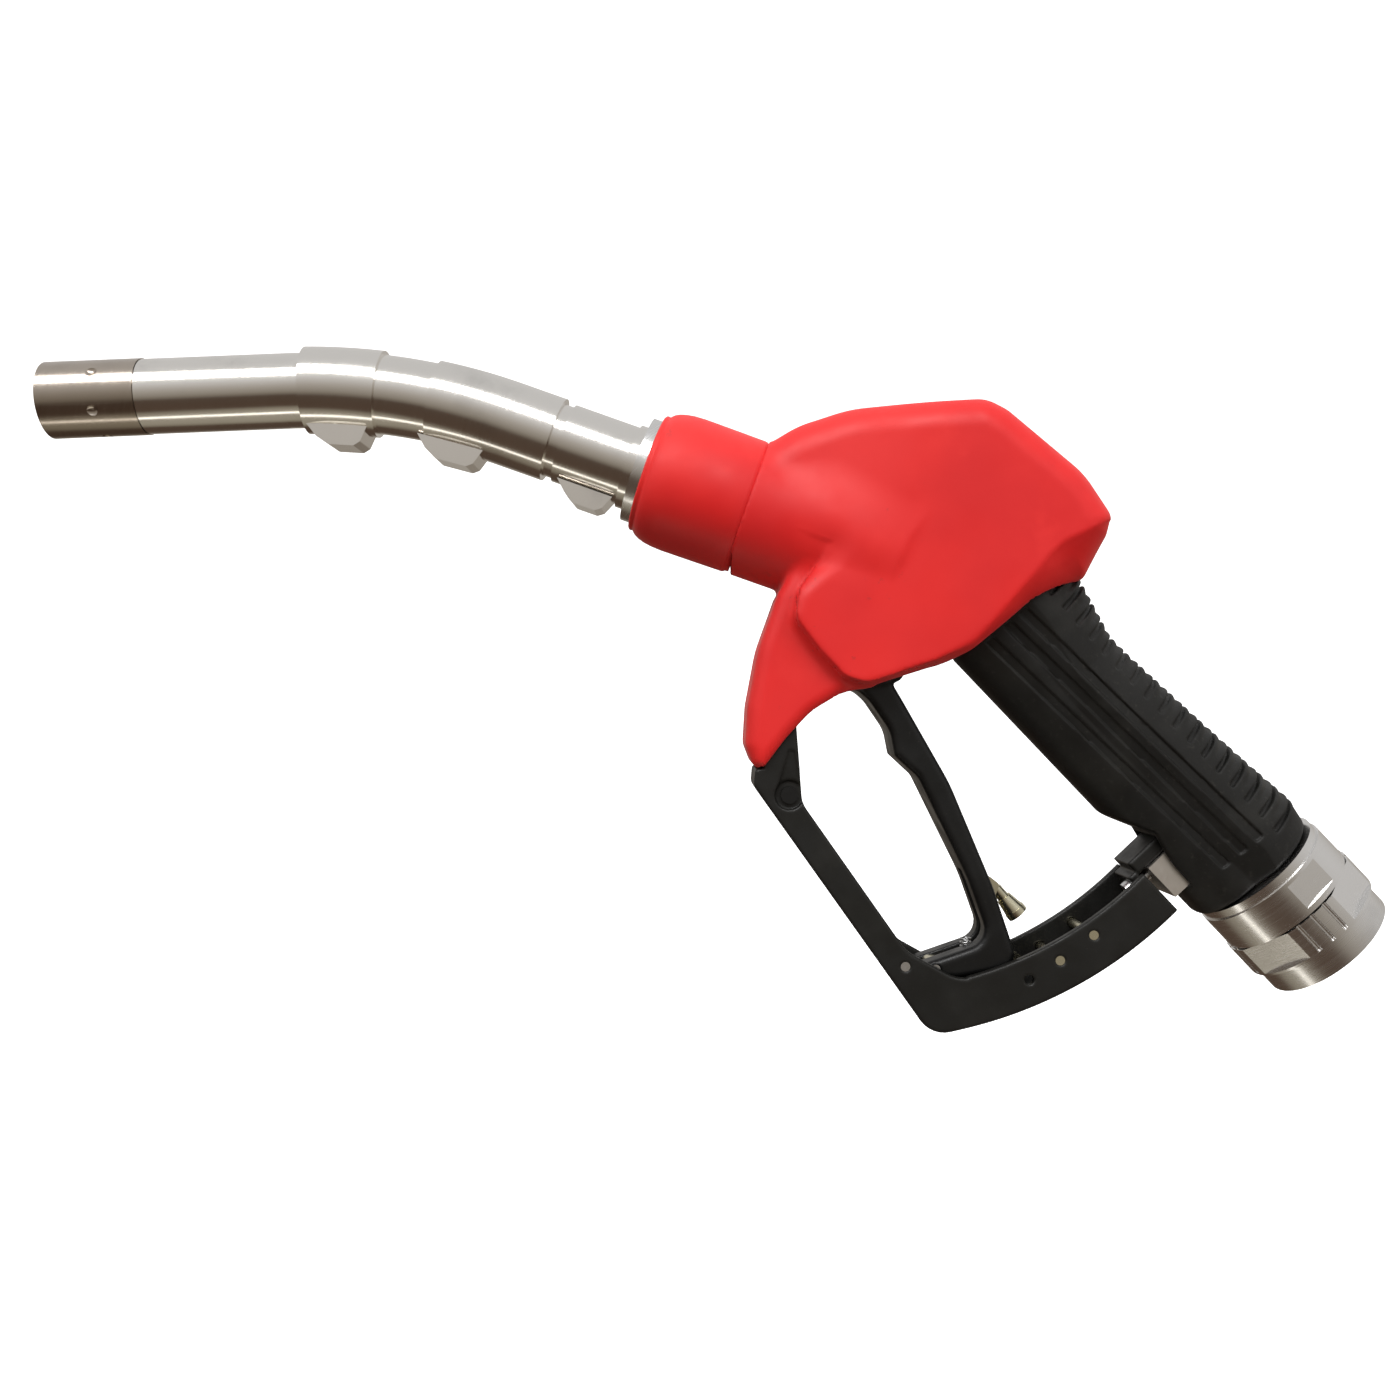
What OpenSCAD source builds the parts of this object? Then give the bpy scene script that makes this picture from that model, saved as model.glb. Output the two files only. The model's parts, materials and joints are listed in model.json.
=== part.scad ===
// Automatic fuel nozzle with a bent spout, a squeeze lever in a hand guard and a hose swivel.
// Origin: centre of the inlet mouth. +Z is up, the spout points along -X, Y = 0 is the plane of symmetry.

/* [Spout] */
// Outside diameter of the spout tube
spout_d = 23.8; // [21:0.1:25]
// Wall of the spout tube
spout_wall = 1.6; // [1.2:0.1:2.4]
// Radius of the bend, on the tube's centreline
bend_r = 190; // [180:1:200]
// Angle through which the spout bends, in degrees
bend_angle = 21.8; // [18:0.1:24]
// Length of the straight tip
tip_len = 76.9; // [70:0.1:82]

/* [Body] */
// Slope of the barrel, in degrees below the horizontal
barrel_tilt = 19.5; // [17:0.1:22]
// Lean of the handle from the vertical, in degrees
handle_lean = 43.5; // [42:0.1:45]
// Wall of the soft covers
cover_wall = 2.4; // [2:0.1:3]
// Half width of the main cover
cover_half = 28; // [26:0.5:30]

/* [Lever and guard] */
// Outside width of the hand guard
guard_w = 28.5; // [27:0.1:30]
// Wall of the hand guard
guard_wall = 3; // [2.5:0.1:3.4]
// Width of the lever
lever_w = 20.8; // [19:0.1:21.2]
// Distance from the lever pin to the roller that lifts the valve
cam_arm = 17; // [16:0.1:18]

/* [Inlet] */
// Wall radius of the inlet thread
thread_r = 15.15; // [15:0.01:15.3]
// Length of the inlet thread
thread_len = 14; // [12:0.5:14]

/* [Hidden] */
$fn = 48;
eps = 0.01;
run_gap = 0.05;

// Front end of the barrel, and the distances k (rearward) and m (up) in the barrel's own frame
barrel_front = [-218.4, 151.2];
plunger_k = 76.9;
pivot_m = -32.4;
stem_k = plunger_k + cam_arm;
roller_r = 5;
roller_gap = 0.3;
stem_r = 3;
stem_foot_m = pivot_m + roller_r + roller_gap;
plunger_r = 3.5;
diaphragm_r = 13;
plunger_bore = 4.4;
chamber_top = 17;
housing_m = 24;
barrel_r = 18;
spout_r = spout_d / 2;
ferrule_r = spout_r + 0.25;
bore_r = spout_r - spout_wall;

// Distances along the spout from the barrel's front end, measured forwards
bend_start = 46.9;
collar_front = 3.4;
end_ring_front = 6.4;
rear_sleeve_front = 28.4;
groove_front = 31.8;
middle_front = 72.1;
front_sleeve_front = 89.3;
anchor_front = 113.2;
ferrule_len = 31;
dimple_from_tip = 17.6;
dimple_r = 2.4;
dimple_depth = 0.8;
lug_width = 14;
bend_end = bend_start + bend_r * bend_angle * PI / 180;
spout_len = bend_end + tip_len;

// Distances s along the handle from the inlet mouth
nut_top = 19.2;
ring_bottom = 19.6;
ring_top = 34.6;
tube_bottom = 30;
grip_top = 150;

// Inlet ring with two spanner flats, and the swivel nut with four flats and grooves between them
ring_r = 22.6;
ring_turn = 12;
ring_flat_depth = 0.9;
nut_r = 23.2;
nut_mouth_r = 21.7;
nut_neck_r = 13.6;
nut_bore_r = 10;
nut_turn = -6;
groove_step = 12.8;
groove_r = 0.8;
flat_apothem = 21.4;
washer_r = 14.9;
washer_seat = 2.1;

// The lever's turning point and the places of the pins in the guard, in the plane Y = 0
lever_pivot = [-156.7, 95];
stop_pin = [-137.5, -5.1];
catch_pivot = [-127.4, -6.6];
latch_holes = [[-98.9, -9.2], [-89.2, -3.2], [-78.7, 4.7]];
front_screw = [-173.7, 48.4];
screw_r = 1.95;
screw_hole_r = 2;
// Distance of the rear guard screw along the handle
rear_screw_s = 55.6;
guard_centre = [-150.5, 110];
guard_outer_r = 138.2;
guard_inner_r = 122.8;
guard_arc_start = -118;
guard_end_t = -29.4;
lug_w = 8;
pin_r = 1.5;

// ---- Helpers ----
function unit(v) = v / norm(v);

// Corner q of an outline, between p and s, as an arc of radius r
function corner_arc(p, q, s, r, n = 6) =
    r == 0 ? [q] :
    let (a = unit(p - q), b = unit(s - q), half = acos(a * b) / 2,
         c = q + unit(a + b) * r / sin(half),
         from = q + a * r / tan(half) - c, to = q + b * r / tan(half) - c,
         start = atan2(from[1], from[0]),
         sweep = (atan2(to[1], to[0]) - start + 540) % 360 - 180)
    [for (i = [0:n]) c + r * [cos(start + sweep * i / n), sin(start + sweep * i / n)]];

// Outline from corners [x, z, radius]
function rounded(pts) =
    let (count = len(pts), flat = [for (p = pts) [p[0], p[1]]])
    [for (i = [0:count - 1])
        each corner_arc(flat[(i + count - 1) % count], flat[i], flat[(i + 1) % count], pts[i][2])];

// A flat outline in the plane of symmetry, given its width across
module slab(pts, width) {
    rotate([90, 0, 0]) linear_extrude(width, center = true) polygon(pts);
}

module slab_2d(width) {
    rotate([90, 0, 0]) linear_extrude(width, center = true) children();
}

// A cylinder across the object at a point of the plane of symmetry
module cross_pin(at, r, length) {
    translate([at[0], 0, at[1]]) rotate([90, 0, 0]) cylinder(r = r, h = length, center = true);
}

// Barrel frame: +X runs rearwards along the barrel, +Z runs up its valve axes
module barrel_frame() {
    translate([barrel_front[0], 0, barrel_front[1]]) rotate([0, barrel_tilt, 0]) children();
}

// Handle frame: +Z runs up the handle from the inlet mouth, +X is the back of the hand
module handle_frame() {
    rotate([0, -handle_lean, 0]) children();
}

// An upright valve axis of the barrel frame
module valve_axis(k) {
    barrel_frame() translate([k, 0, 0]) children();
}

module ring(r_out, r_in, low, high) {
    translate([0, 0, low]) difference() {
        cylinder(r = r_out, h = high - low);
        translate([0, 0, -1]) cylinder(r = r_in, h = high - low + 2);
    }
}

module rod(r, low, high) {
    translate([0, 0, low]) cylinder(r = r, h = high - low);
}

module oring(centre_r, wire_r) {
    rotate_extrude() translate([centre_r, 0]) circle(r = wire_r, $fn = 24);
}

// A closed coil of round rings stands for a wound spring, so that it keeps true round wire
module coil(centre_r, wire_r, low, high, turns) {
    pitch = (high - low - 2 * wire_r) / (turns - 1);
    for (i = [0:turns - 1]) translate([0, 0, low + wire_r + pitch * i]) oring(centre_r, wire_r);
}

// ---- Spout ----
// A straight piece of the spout between two distances, before the bend
module spout_straight(r, from, to) {
    barrel_frame() translate([-to, 0, 0]) rotate([0, 90, 0]) cylinder(r = r, h = to - from);
}

// A piece of the spout inside the bend, between two distances
module spout_bent(r, from, to) {
    turn = (to - from) / bend_r * 180 / PI;
    lead = (from - bend_start) / bend_r * 180 / PI;
    barrel_frame() translate([-bend_start, 0, -bend_r]) rotate([0, -lead, 0]) rotate([90, 0, 0])
        rotate([0, 0, 90]) rotate_extrude(angle = turn, $fn = 96) translate([bend_r, 0]) circle(r = r);
}

// The straight tip, between two distances
module spout_tip(r, from, to) {
    barrel_frame() translate([-bend_start, 0, -bend_r]) rotate([0, -bend_angle, 0])
        translate([-(to - bend_end), 0, bend_r]) rotate([0, 90, 0]) cylinder(r = r, h = to - from);
}

// The frame of a point on the spout: +X runs rearwards, +Z away from the bend's centre
module spout_frame(at) {
    turn = min(max(at - bend_start, 0), bend_end - bend_start) / bend_r * 180 / PI;
    straight = at < bend_start ? at : bend_start;
    barrel_frame() translate([-straight, 0, -bend_r]) rotate([0, -turn, 0])
        translate([-max(at - bend_end, 0), 0, bend_r]) children();
}

module spout_tube() color("silver") {
    difference() {
        union() {
            spout_straight(spout_r, -10, bend_start);
            spout_bent(spout_r, bend_start, bend_end);
            spout_tip(spout_r, bend_end, spout_len - ferrule_len);
            spout_tip(spout_r - 0.8, spout_len - ferrule_len - eps, spout_len - 4);
        }
        spout_straight(bore_r, -11, bend_start);
        spout_bent(bore_r, bend_start, bend_end);
        spout_tip(bore_r, bend_end, spout_len);
    }
}

module spout_tip_ferrule() color("dimgray") {
    difference() {
        spout_tip(ferrule_r, spout_len - ferrule_len + 0.2, spout_len);
        spout_tip(spout_r - 0.8, spout_len - ferrule_len - 1, spout_len - 4);
        spout_tip(bore_r, spout_len - 5, spout_len + 1);
        for (turn = [0:60:359]) spout_frame(spout_len - dimple_from_tip) rotate([turn, 0, 0])
            translate([0, 0, ferrule_r + dimple_r - dimple_depth]) sphere(r = dimple_r);
    }
}

// A sleeve round the bend with a hook-shaped lug under it
module bent_sleeve(r, from, to) {
    difference() {
        union() {
            spout_bent(r, from, to);
            children();
        }
        spout_bent(spout_r + run_gap, from - 4, to + 4);
    }
}

// A faceted lug under the spout, given where it is, its length and its depth below the axis
module spout_lug(at, length, depth) {
    front = -length / 2;
    back = length / 2;
    spout_frame(at) slab(rounded([[front - 3.6, -spout_r, 0], [back + 2, -spout_r, 0], [back, 1.4 - depth, 0.8],
        [back - 2, -depth, 0.8], [front + 4, -depth, 1.5], [front, 2.4 - depth, 1]]), lug_width);
}

module spout_anchor_ring() color("silver")
    bent_sleeve(13.8, front_sleeve_front, anchor_front) spout_lug(101, 14, 18.4);

module spout_front_sleeve() color("silver")
    bent_sleeve(12.6, middle_front, front_sleeve_front);

module spout_middle_sleeve() color("silver") {
    difference() {
        union() {
            spout_straight(13.6, groove_front, bend_start);
            spout_bent(13.6, bend_start, middle_front);
            spout_lug(62, 16, 18.2);
        }
        spout_straight(spout_r + run_gap, groove_front - 1, bend_start);
        spout_bent(spout_r + run_gap, bend_start, middle_front + 8);
    }
}

module spout_rear_sleeve() color("silver") {
    difference() {
        union() {
            spout_straight(12.8, collar_front, rear_sleeve_front);
            spout_straight(13.7, collar_front, end_ring_front);
            spout_lug(16, 13, 17.8);
        }
        spout_straight(spout_r + run_gap, collar_front - 1, rear_sleeve_front + 8);
    }
}

module spout_nut() color("lightgray") barrel_frame() rotate([0, 90, 0]) difference() {
    union() {
        rod(17, -collar_front, 3);
        rod(15.5, 3, 14);
    }
    translate([0, 0, -4]) cylinder(r = spout_r, h = 20);
}

module spout_oring() color("black") barrel_frame() translate([15.4, 0, 0]) rotate([0, 90, 0])
    oring(spout_r + 1.2, 1.1);

vent_r = 2.2;
vent_drop = bore_r - vent_r - 0.3;

// The air line lies on the floor of the spout's bore
module vent_line(r, to) {
    turn = bend_angle;
    barrel_frame() translate([-bend_start, 0, -vent_drop]) rotate([0, 90, 0]) rod(r, 0, bend_start + 14);
    barrel_frame() translate([-bend_start, 0, -bend_r]) rotate([90, 0, 0]) rotate([0, 0, 90])
        rotate_extrude(angle = turn, $fn = 96) translate([bend_r - vent_drop, 0]) circle(r = r, $fn = 24);
    barrel_frame() translate([-bend_start, 0, -bend_r]) rotate([0, -bend_angle, 0])
        translate([-(to - bend_end), 0, bend_r - vent_drop]) rotate([0, 90, 0]) rod(r, 0, to - bend_end);
}

module vent_tube() color("goldenrod") difference() {
    vent_line(vent_r, spout_len - 26);
    vent_line(vent_r - 0.6, spout_len - 25);
}

module vent_tip_fitting() color("goldenrod")
    spout_frame(spout_len - 14) translate([0, 0, -vent_drop]) rotate([0, 90, 0]) ring(2.4, 1.3, 0.6, 11.9);

module attitude_ball_cage() color("goldenrod")
    spout_frame(spout_len - 14) translate([0, 0, 1.5]) rotate([0, 90, 0]) difference() {
        union() {
            rod(6.2, -6, 9);
            translate([4.8, -1.5, -2]) cube([2.2, 3, 8]);
        }
        rod(4.4, -4.5, 7.6);
        rod(3, -7, 10);
    }

module attitude_ball() color("silver")
    spout_frame(spout_len - 14) translate([0, 0, 1.5]) sphere(r = 4);

// ---- Cast body ----
casting_wall_r = 15;

module body_casting_solid() {
    handle_frame() rod(casting_wall_r, tube_bottom, 170);
    handle_frame() translate([-26.4, -9, 47]) cube([20, 18, 12.5]);
    barrel_frame() rotate([0, 90, 0]) rod(barrel_r, 3.2, 92);
    valve_axis(stem_k) rod(16, -17, chamber_top);
    valve_axis(plunger_k) rod(7, -20, chamber_top - 1);
    valve_axis(plunger_k) rod(5.8, -20, housing_m + 1);
    valve_axis(plunger_k) rod(diaphragm_r, housing_m, housing_m + 5);
}

// Where the hand guard is screwed on below the front of the barrel
module guard_lug() {
    slab(rounded([[-171, 118, 0], [-160, 112, 0], [-167.4, 98, 4], [-172.5, 79, 2], [-171, 56, 3],
        [-170, 45.2, 1.5], [-175.8, 41.4, 3], [-180.4, 53, 4], [-180, 80, 0]]), lug_w);
}

module body_casting_bores() {
    handle_frame() rod(11, tube_bottom - 1, 140);
    // Two ports from the handle into the space above the main valve
    for (side = [-1, 1]) barrel_frame() translate([131.5, side * 6.5, -6]) rotate([0, -59.9, 0])
        rod(5.5, 0, 40);
    valve_axis(stem_k) {
        rod(11.5, 0, chamber_top + 1);
        rod(10.5, -12, 1);
        rod(stem_r + run_gap, -18, -11);
        rod(6, -18, -14);
    }
    // Two ports pass the plunger on their way to the spout
    for (side = [-1, 1]) barrel_frame() translate([30, side * 9, -5.5]) rotate([0, 90, 0]) rod(4.4, 0, 64);
    barrel_frame() rotate([0, 90, 0]) {
        rod(15.5, 2, 17);
        rod(13.5, 16, 62);
    }
    valve_axis(plunger_k) {
        rod(plunger_bore, -13, housing_m + 2);
        rod(5, -21, -12.9);
        rod(diaphragm_r - 3, housing_m + 1.5, housing_m + 6);
    }
    cross_pin(front_screw, screw_hole_r, 20);
    handle_frame() translate([0, 0, rear_screw_s]) rotate([0, 90, 0]) rod(screw_r + eps, -27, -17.9);
}

module body_casting() color("gainsboro") difference() {
    union() {
        body_casting_solid();
        guard_lug();
    }
    body_casting_bores();
}

// ---- Check valve and vacuum seat, in the barrel ----
module check_valve_seat() color("goldenrod") barrel_frame() rotate([0, 90, 0]) difference() {
    rod(13.4, 22, 30);
    rod(8, 21, 31);
}

module check_valve_poppet() color("goldenrod") barrel_frame() rotate([0, 90, 0]) {
    rod(9.5, 18.5, 21.8);
    rod(2.4, 21.7, 52);
}

module check_valve_guide() color("goldenrod") barrel_frame() rotate([0, 90, 0]) {
    ring(4.5, 2.4 + run_gap, 40, 48);
    for (turn = [0:120:359]) rotate([0, 0, turn]) translate([3.6, -1.2, 40]) cube([9.7, 2.4, 5]);
}

module check_valve_spring() color("silver") barrel_frame() rotate([0, 90, 0]) coil(6.2, 0.6, 30.5, 39.6, 5);

// ---- Main valve ----
module main_valve_seat() color("goldenrod") valve_axis(stem_k) ring(11.4, 8, 0.1, 3);

module main_valve_stem() color("silver") valve_axis(stem_k) {
    rod(4.5, stem_foot_m, stem_foot_m + 2.5);
    rod(stem_r, stem_foot_m + 2.4, 8);
}

module main_valve_poppet() color("goldenrod") valve_axis(stem_k) ring(10, stem_r, 4.3, 6.9);

module main_valve_seal() color("black") valve_axis(stem_k) ring(9.6, stem_r, 3.1, 4.3);

module main_valve_spring() color("silver") valve_axis(stem_k) coil(6.4, 0.7, 7, 20.2, 5);

module main_valve_cap() color("lightgray") valve_axis(stem_k) difference() {
    union() {
        rod(11.4, 14.4, chamber_top);
        translate([0, 0, chamber_top]) cylinder(r = 11, h = 5.4, $fn = 6);
    }
    rod(7.6, 14, 20.3);
    translate([0, 0, 15.7]) rotate_extrude() translate([10.4, -0.7]) square([2, 1.4]);
}

module main_valve_cap_oring() color("black") valve_axis(stem_k) translate([0, 0, 15.7]) oring(10.9, 0.5);

module stem_gland_nut() color("goldenrod") valve_axis(stem_k) translate([0, 0, -17.5]) difference() {
    cylinder(r = 5.9, h = 2, $fn = 6);
    translate([0, 0, -1]) cylinder(r = stem_r + run_gap, h = 4);
}

module stem_packing() color("black") valve_axis(stem_k) ring(5.9, stem_r + run_gap, -15.4, -14.1);

// ---- Automatic shut-off ----
module diaphragm() color("black") valve_axis(plunger_k) translate([0, 0, housing_m]) {
    ring(diaphragm_r, 3, 5.1, 5.9);
    ring(6, 3, 4.4, 5.1);
    rod(3, 3.4, 6.6);
}

module diaphragm_cap() color("gainsboro") valve_axis(plunger_k) translate([0, 0, housing_m]) difference() {
    rod(diaphragm_r, 6, 12);
    rod(diaphragm_r - 3, 5, 10.2);
    for (turn = [45:90:359]) rotate([0, 0, turn]) translate([diaphragm_r - 1.5, 0, 4]) cylinder(r = 1, h = 9);
}

module diaphragm_cap_screws() color("silver") valve_axis(plunger_k) translate([0, 0, housing_m])
    for (turn = [45:90:359]) rotate([0, 0, turn]) translate([diaphragm_r - 1.5, 0, 0]) {
        rod(0.9, 6.1, 12.1);
        rod(1.5, 12.05, 13.2);
    }

module diaphragm_spring() color("silver") valve_axis(plunger_k) coil(4.6, 0.5, housing_m + 6.7, housing_m + 10, 3);

plunger_top = 26.8;
module latch_plunger() color("silver") difference() {
    union() {
        valve_axis(plunger_k) rod(plunger_r, -25, plunger_top);
        valve_axis(plunger_k) slab(rounded([[-4.5, -24, 0], [-4.5, pivot_m - 4.5, 4], [4.5, pivot_m - 4.5, 4],
            [4.5, -24, 0]]), 6.4);
    }
    cross_pin(lever_pivot, 2.5, 12);
}

module latch_balls() color("silver") valve_axis(plunger_k) for (turn = [0:120:359])
    rotate([0, 0, turn]) translate([4.85, 0, 26.8]) sphere(r = 1.2);

module latch_plunger_spring() color("silver") valve_axis(plunger_k) coil(3.95, 0.3, -12, 20, 11);

module plunger_bush() color("goldenrod") valve_axis(plunger_k) ring(4.95, plunger_r + run_gap, -20, -13);

// ---- Lever ----
lever_outline = rounded([
    [-161.5, 99.5, 4.5], [-150.6, 99.5, 3], [-141.2, 84, 12], [-137.5, 77.7, 0], [-122.8, 51.9, 60],
    [-109.2, 19.5, 60], [-102.2, -1.5, 1], [-103, -7.2, 2], [-130.4, -11, 3], [-133.2, -5.8, 2],
    [-110.2, 2.2, 6], [-117.2, 22, 60], [-132.8, 53.7, 6], [-140.2, 60.6, 1.2], [-141.7, 68.4, 12],
    [-148.3, 78.1, 12], [-164, 91, 5]]);
catch_slot = 5.4;

// The two cheeks that carry the roller behind the lever pin
module cam_cheeks() {
    barrel_frame() slab(rounded([[plunger_k - 5, pivot_m + 5.6, 4], [stem_k + 4.2, pivot_m + 4.2, 4],
        [stem_k + 4.2, pivot_m - 4.2, 4], [plunger_k + 4, pivot_m - 14, 2], [plunger_k - 6, pivot_m - 8, 2]]),
        lever_w);
}

module lever() color("black") difference() {
    union() {
        slab(lever_outline, lever_w);
        cam_cheeks();
    }
    // Gap for the plunger's eye and the roller
    barrel_frame() translate([plunger_k - 10, -4, pivot_m - 8]) cube([32, 8, 22]);
    // Slot for the catch, open below and behind
    slab(rounded([[-132, -30, 0], [-131.4, -3.4, 2], [-112, 3.4, 2], [-119, 24, 2], [-104, 26, 0], [-90, -30, 0]]),
        catch_slot);
    cross_pin(lever_pivot, 2.5, lever_w + 2);
    cross_pin(catch_pivot, pin_r, lever_w + 2);
    barrel_frame() translate([stem_k, 0, pivot_m]) rotate([90, 0, 0]) cylinder(r = 2, h = lever_w + 2, center = true);
}

module lever_pin() color("silver") cross_pin(lever_pivot, 2.45, lever_w);

module lever_roller() color("silver") barrel_frame() translate([stem_k, 0, pivot_m]) rotate([90, 0, 0])
    difference() {
        cylinder(r = roller_r, h = 7.4, center = true);
        cylinder(r = 2 + run_gap, h = 9, center = true);
    }

module roller_pin() color("silver") barrel_frame() translate([stem_k, 0, pivot_m]) rotate([90, 0, 0])
    cylinder(r = 1.98, h = lever_w, center = true);

// ---- Hold-open catch ----
// The catch turns on its pin in the lever's foot. Its hook drops behind a latch pin of the guard.
knob_root = [-108.6, 20];
knob_tip = [-99.2, 9.2];
knob_dir = unit(knob_tip - knob_root);
catch_outline = rounded([
    [-130, -4.2, 2], [-129.6, -9.2, 2], [-118, -10.6, 0], [-108.7, -8, 0], [-103.6, -5.4, 0], [-99.4, -7.6, 0.4],
    [-96.6, -5.6, 0.6], [-103.2, -0.6, 2], [-107.4, 14.2, 3], [-105.6, 19, 1], [-109.2, 22, 1],
    [-112.4, 14.6, 3], [-108.2, -2.4, 2], [-118, -4.6, 0]]);

module hold_open_catch() color("khaki") difference() {
    slab(catch_outline, 4.6);
    cross_pin(catch_pivot, pin_r + run_gap, 8);
}

module knob_frame() {
    translate([knob_tip[0], 0, knob_tip[1]]) rotate([0, atan2(knob_dir[0], knob_dir[1]), 0]) children();
}

module catch_knob() color("khaki") knob_frame() {
    rod(1.9, -11, -7);
    translate([0, 0, -7.1]) cylinder(r1 = 2.4, r2 = 3.25, h = 5.2);
    rod(3.45, -2, 0);
}

module catch_pin() color("silver") cross_pin(catch_pivot, pin_r - run_gap, lever_w);

module catch_spring() color("silver") translate([-116, 0, 0]) coil(1.7, 0.3, -3.6, 1.6, 5);

// ---- Hand guard ----
module guard_circle(r) {
    translate(guard_centre) circle(r = r, $fn = 160);
}

// The side view of the whole guard, as if it were solid
module guard_side() {
    difference() {
        union() {
            intersection() {
                difference() {
                    guard_circle(guard_outer_r);
                    guard_circle(guard_inner_r);
                }
                translate([guard_arc_start, -40]) square([90, 80]);
            }
            polygon(rounded([[-184.4, 56.4, 0.8], [-184.9, 51.2, 3], [-129.3, -27, 9], [-117.9, -24.3, 0],
                [-112, -7.4, 0], [-120.5, -9.6, 12], [-137, -0.5, 12], [-169.6, 45.8, 8], [-171.8, 74, 1],
                [-181, 77, 1], [-181.8, 57, 0]]));
        }
        // The rear arm ends on a line beside the handle
        rotate(handle_lean) translate([guard_end_t, -100]) square([200, 300]);
    }
}

// The channel inside the leg and the arm, open towards the lever
module guard_pocket() {
    difference() {
        guard_circle(guard_outer_r - guard_wall);
        translate([guard_arc_start - 400, -200]) square([400, 400]);
    }
    polygon(rounded([[-171.9, 38.4, 2], [-128.2, -23, 7], [-117.9, -21.2, 0], [-108, 0, 0], [-110, 20, 0],
        [-140, 20, 0], [-161.5, 46.4, 2]]));
}

module hand_guard() color("black") difference() {
    slab_2d(guard_w) guard_side();
    slab_2d(guard_w - 2 * guard_wall) guard_pocket();
    // Seat of the front lug
    slab(rounded([[-171, 118, 0], [-160, 112, 0], [-164.8, 98, 4], [-164.8, 48.2, 0], [-175.9, 41, 3],
        [-180.8, 53, 4], [-180.4, 80, 0]]), lug_w + 0.4);
    cross_pin(stop_pin, pin_r, guard_w + 2);
    for (hole = latch_holes) cross_pin(hole, pin_r, guard_w + 2);
    cross_pin(front_screw, screw_hole_r, guard_w + 2);
    for (side = [-1, 1]) translate([front_screw[0], side * guard_w / 2, front_screw[1]]) rotate([90, 0, 0])
        cylinder(r = 4.4, h = 3, center = true);
}

module guard_front_screw() color("dimgray") translate([front_screw[0], 0, front_screw[1]]) rotate([90, 0, 0]) {
    rod(screw_r, -14.2, 12.8);
    rod(2.65, 12.75, 13.9);
}

module guard_front_nut() color("dimgray") translate([front_screw[0], 0, front_screw[1]]) rotate([90, 0, 0])
    difference() {
        translate([0, 0, -14.2]) cylinder(r = 3.6, h = 1.4, $fn = 6);
        rod(1.96, -15, -12);
    }

// The block reaches from the handle into the channel of the guard's arm
module guard_rear_block() color("black") handle_frame() difference() {
    union() {
        translate([-33, -10.6, 51]) cube([3.3, 21.2, 7]);
        translate([-33, -8, 57]) cube([3.3, 16, 4.2]);
        translate([-30, -8, 59.7]) cube([14, 16, 4.9]);
    }
    translate([-40, 0, rear_screw_s]) rotate([0, 90, 0]) cylinder(r = screw_hole_r, h = 20);
}

module guard_rear_screw() color("silver") handle_frame() translate([0, 0, rear_screw_s]) rotate([0, 90, 0]) {
    rod(screw_r, -33.05, -18);
    rod(3.4, -35.2, -33.02);
}

module lever_stop_pin() color("silver") cross_pin(stop_pin, pin_r - 0.02, guard_w - 0.6);

module latch_pins() color("silver") for (i = [1, 2]) cross_pin(latch_holes[i], pin_r - 0.02, guard_w - 0.8);

// ---- Soft covers ----
// Main bulk of the cover in side view, and the wide raised part of its sides
cover_side = [[-179.9, 158.6], [-170.6, 163], [-155, 168], [-139.5, 170], [-114, 170.8], [-107.8, 167.9],
    [-83.7, 147.6], [-75.8, 135], [-76.6, 129.6], [-82.6, 116.8], [-100.5, 107.8], [-118, 93.2], [-140, 84.4],
    [-156, 81], [-164.8, 91.5], [-174, 104], [-193, 119.8]];
cover_lobe = [[-158, 154], [-117, 159], [-88, 136], [-94, 121], [-122, 98], [-141, 90], [-153, 88],
    [-162, 96], [-166, 108], [-157, 128]];
skirt_side = [[-177, 112], [-182.1, 97.3], [-186.2, 76], [-186.9, 64], [-184.6, 57.4], [-181.6, 57],
    [-167.7, 73], [-154, 80.5], [-150, 100]];
neck_k = 38;

module cover_form(inset) {
    hull() {
        slab_2d(2 * (17 - inset)) offset(delta = -inset) polygon(cover_side);
        slab_2d(2 * (cover_half - inset)) offset(delta = -inset) polygon(cover_lobe);
    }
    hull() {
        barrel_frame() rotate([0, 90, 0]) translate([0, 0, 30]) cylinder(r = 21.3 - inset, h = 12, $fn = 32);
        barrel_frame() rotate([0, 90, 0]) translate([0, 0, 70]) cylinder(r = 22 - inset, h = 2, $fn = 32);
    }
    hull() slab_2d(2 * (17.4 - inset)) offset(delta = -inset) polygon(skirt_side);
}

module body_cover() color("crimson") difference() {
    cover_form(0);
    cover_form(cover_wall);
    // Mouth towards the boot
    barrel_frame() translate([-20, -40, -60]) cube([20 + neck_k - 3.2, 80, 100]);
    // Mouth for the grip
    handle_frame() hull() {
        translate([1.5, 0, 100]) cylinder(r = 21, h = 55, $fn = 32);
        translate([-8.4, 0, 100]) cylinder(r = 17, h = 55, $fn = 32);
    }
    // Open underside for the guard and the lever
    slab([[-178, 40], [-182.4, 55], [-178, 86], [-160, 98], [-130, 96], [-126, 88], [-130, 70], [-150, 60]], 2 * 14.8);
}

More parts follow.
